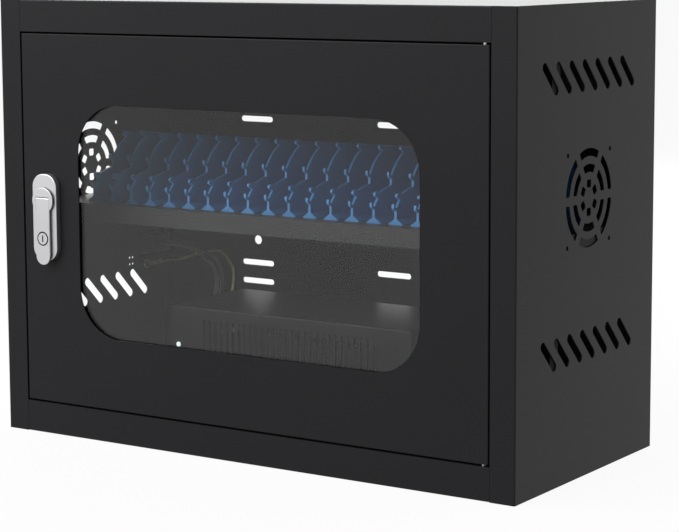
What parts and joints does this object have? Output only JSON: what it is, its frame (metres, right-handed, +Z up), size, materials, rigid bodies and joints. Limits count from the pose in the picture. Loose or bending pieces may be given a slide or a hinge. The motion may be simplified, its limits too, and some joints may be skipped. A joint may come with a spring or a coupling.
{
  "type": "device charging cabinet",
  "caption": "Black sheet-steel charging cabinet with a hinged windowed door and swing-handle lock, blue device dividers on a shelf, and a charger in the space below.",
  "frame": {"origin": "centre of the cabinet's underside", "axes": "+X to the right seen from the front, +Y to the rear, +Z up; the door faces -Y"},
  "size_m": [0.58, 0.2798, 0.43],
  "materials": {
    "black_paint": "fine satin powder coat",
    "charger_paint": "satin",
    "blue_plastic": "moulded, satin",
    "clear_pane": "clear, polished",
    "black_rubber": "matte",
    "black_plastic": "moulded",
    "satin_chrome": "satin plated die casting",
    "zinc_steel": "zinc plated",
    "pin_brass": "plated",
    "lamp_plastic": "clear lens",
    "grey_jacket": "smooth jacket",
    "yellow_green_jacket": "smooth jacket"
  },
  "bodies": {
    "cabinet": {"right_side_panel": "black_paint", "left_side_panel": "black_paint", "bottom_panel": "black_paint", "top_panel": "black_paint", "back_panel": "black_paint", "right_rail": "black_paint", "left_rail": "black_paint", "shelf_screws": "zinc_steel", "shelf": "black_paint", "divider_01": "blue_plastic", "divider_02": "blue_plastic", "divider_03": "blue_plastic", "divider_04": "blue_plastic", "divider_05": "blue_plastic", "divider_06": "blue_plastic", "divider_07": "blue_plastic", "divider_08": "blue_plastic", "divider_09": "blue_plastic", "divider_10": "blue_plastic", "divider_11": "blue_plastic", "divider_12": "blue_plastic", "divider_13": "blue_plastic", "divider_14": "blue_plastic", "divider_15": "blue_plastic", "divider_16": "blue_plastic", "divider_17": "blue_plastic", "divider_18": "blue_plastic", "divider_19": "blue_plastic", "divider_20": "blue_plastic", "divider_21": "blue_plastic", "charger_cover": "charger_paint", "charger_base": "charger_paint", "charger_feet": "black_rubber", "charger_lamp": "lamp_plastic", "charger_port_strip": "black_plastic", "power_inlet": "black_plastic", "inlet_pins": "pin_brass", "lead_glands": "black_plastic", "grey_lead_front": "grey_jacket", "grey_lead_rear": "grey_jacket", "earth_lead": "yellow_green_jacket", "earth_terminal": "yellow_green_jacket", "earth_screw": "zinc_steel"},
    "door": {"door_panel": "black_paint", "window_seal": "black_rubber", "window_pane": "clear_pane", "hinge_pin_top": "zinc_steel", "hinge_pin_bottom": "zinc_steel", "hinge_bracket_top": "zinc_steel", "hinge_bracket_bottom": "zinc_steel", "lock_base": "satin_chrome", "lock_nut": "zinc_steel"},
    "handle": {"lock_rotor": "satin_chrome", "lever_pin": "zinc_steel", "lock_cam": "zinc_steel", "cam_screw": "zinc_steel"},
    "lever": {"lock_lever": "satin_chrome"},
    "key": {"key_plug": "satin_chrome"}
  },
  "joints": [
    {"name": "door_hinge", "type": "hinge", "parent": "cabinet", "child": "door", "pos_m": [0.2565, -0.13, 0.215], "axis": [0, 0, 1], "range_deg": [0, 110]},
    {"name": "handle_turn", "type": "hinge", "parent": "door", "child": "handle", "pos_m": [-0.2325, -0.1432, 0.2345], "axis": [0, -1, 0], "range_deg": [0, 90]},
    {"name": "lever_lift", "type": "hinge", "parent": "handle", "child": "lever", "pos_m": [-0.2325, -0.1432, 0.23625], "axis": [-1, 0, 0], "range_deg": [0, 30]},
    {"name": "key_turn", "type": "hinge", "parent": "lever", "child": "key", "pos_m": [-0.2325, -0.1432, 0.1971], "axis": [0, -1, 0], "range_deg": [0, 90]}
  ]
}
